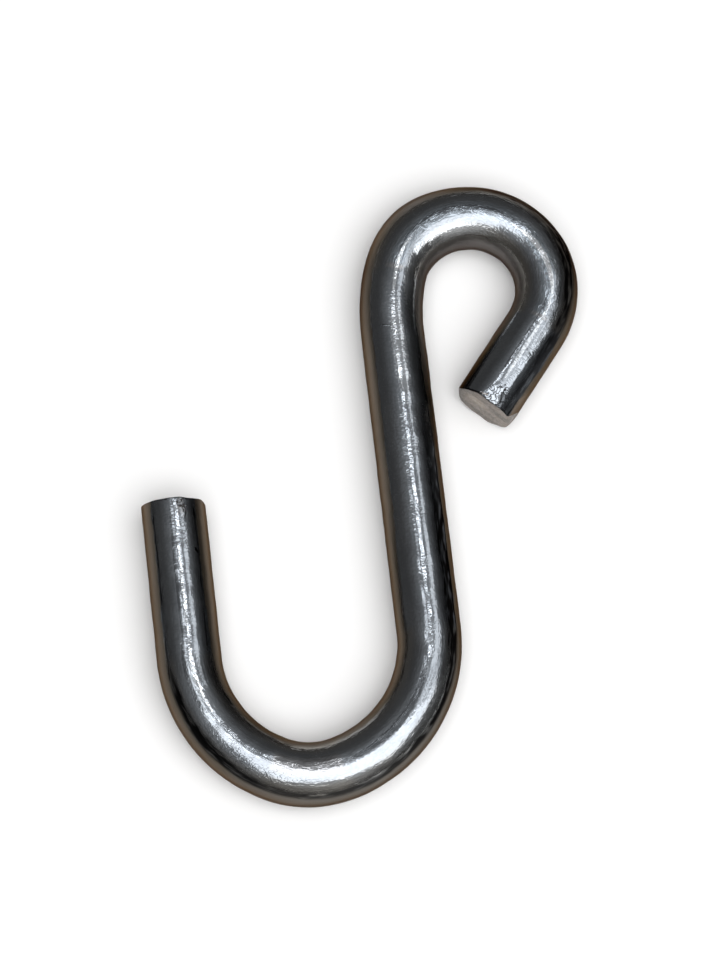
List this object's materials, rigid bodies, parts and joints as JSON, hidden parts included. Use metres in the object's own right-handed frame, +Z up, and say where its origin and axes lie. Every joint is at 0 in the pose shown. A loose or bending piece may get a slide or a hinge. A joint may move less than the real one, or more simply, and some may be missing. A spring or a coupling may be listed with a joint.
{
  "type": "s hook",
  "caption": "S hook bent from round steel rod, with a nearly closed small eye at one end and a wide open hook at the other.",
  "frame": {"origin": "on the surface that the hook lies on, under the middle of its overall length and width", "axes": "+Y along the shank towards the nearly closed eye, +X towards the side that the eye curls to, +Z up out of the plane of the bends"},
  "size_m": [0.0432, 0.0582, 0.006],
  "materials": {
    "steel": "bright drawn rod with fine lengthwise scratches, and dull sheared ends"
  },
  "bodies": {
    "root": {"s_hook": "steel"}
  },
  "joints": []
}
